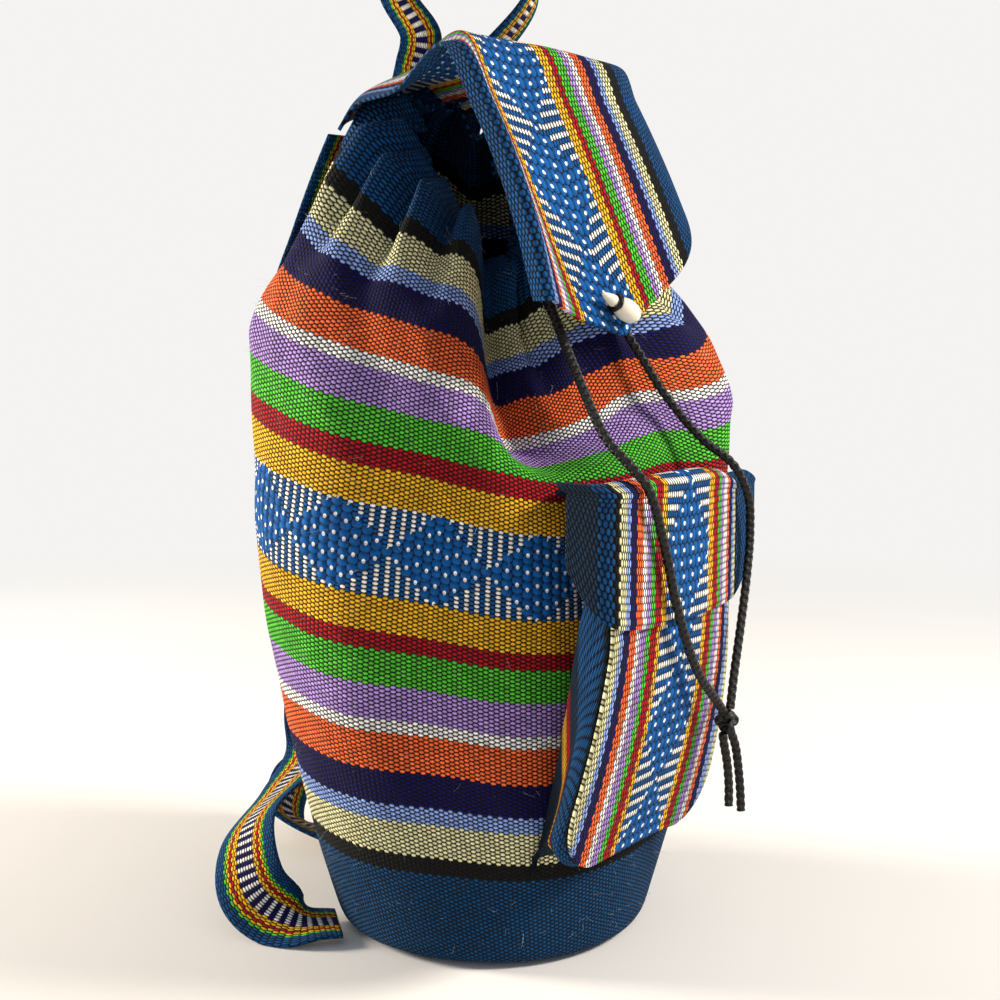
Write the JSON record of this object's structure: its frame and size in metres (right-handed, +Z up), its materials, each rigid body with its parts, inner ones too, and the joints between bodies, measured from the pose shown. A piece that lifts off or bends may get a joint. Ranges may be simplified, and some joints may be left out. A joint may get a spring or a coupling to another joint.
{
  "type": "woven drawstring backpack",
  "caption": "Soft hand-woven rucksack: gathered cloth tube on a round base, with a top flap, toggle, gusseted front pocket, shoulder straps, hanging loop and drawstring.",
  "frame": {"origin": "centre of the round base's underside", "axes": "+Z up, -Y towards the front pocket, +X towards the bag's own left side"},
  "size_m": [0.2332, 0.295, 0.5063],
  "materials": {
    "striped_cloth": "coarse hand-woven cotton, matte, slightly fuzzy",
    "blue_cloth": "coarse hand-woven cotton, matte",
    "flap_cloth": "coarse hand-woven cotton, matte, slightly fuzzy",
    "pocket_cloth": "coarse hand-woven cotton, matte, slightly fuzzy",
    "gusset_cloth": "coarse hand-woven cotton, matte",
    "strap_webbing": "thick woven band, matte",
    "toggle_plastic": "smooth, softly glossy",
    "braided_cord": "braided, dull sheen"
  },
  "bodies": {
    "root": {"body_cloth": "striped_cloth", "base_panel": "blue_cloth", "flap": "flap_cloth", "pocket_front": "pocket_cloth", "pocket_flap": "pocket_cloth", "pocket_gusset": "gusset_cloth", "shoulder_strap_left": "strap_webbing", "shoulder_strap_right": "strap_webbing", "hanging_loop": "strap_webbing", "toggle": "toggle_plastic", "toggle_cord": "braided_cord", "cord_left": "braided_cord", "cord_right": "braided_cord", "cord_knot": "braided_cord", "cord_tail_left": "braided_cord", "cord_tail_right": "braided_cord"}
  },
  "joints": []
}
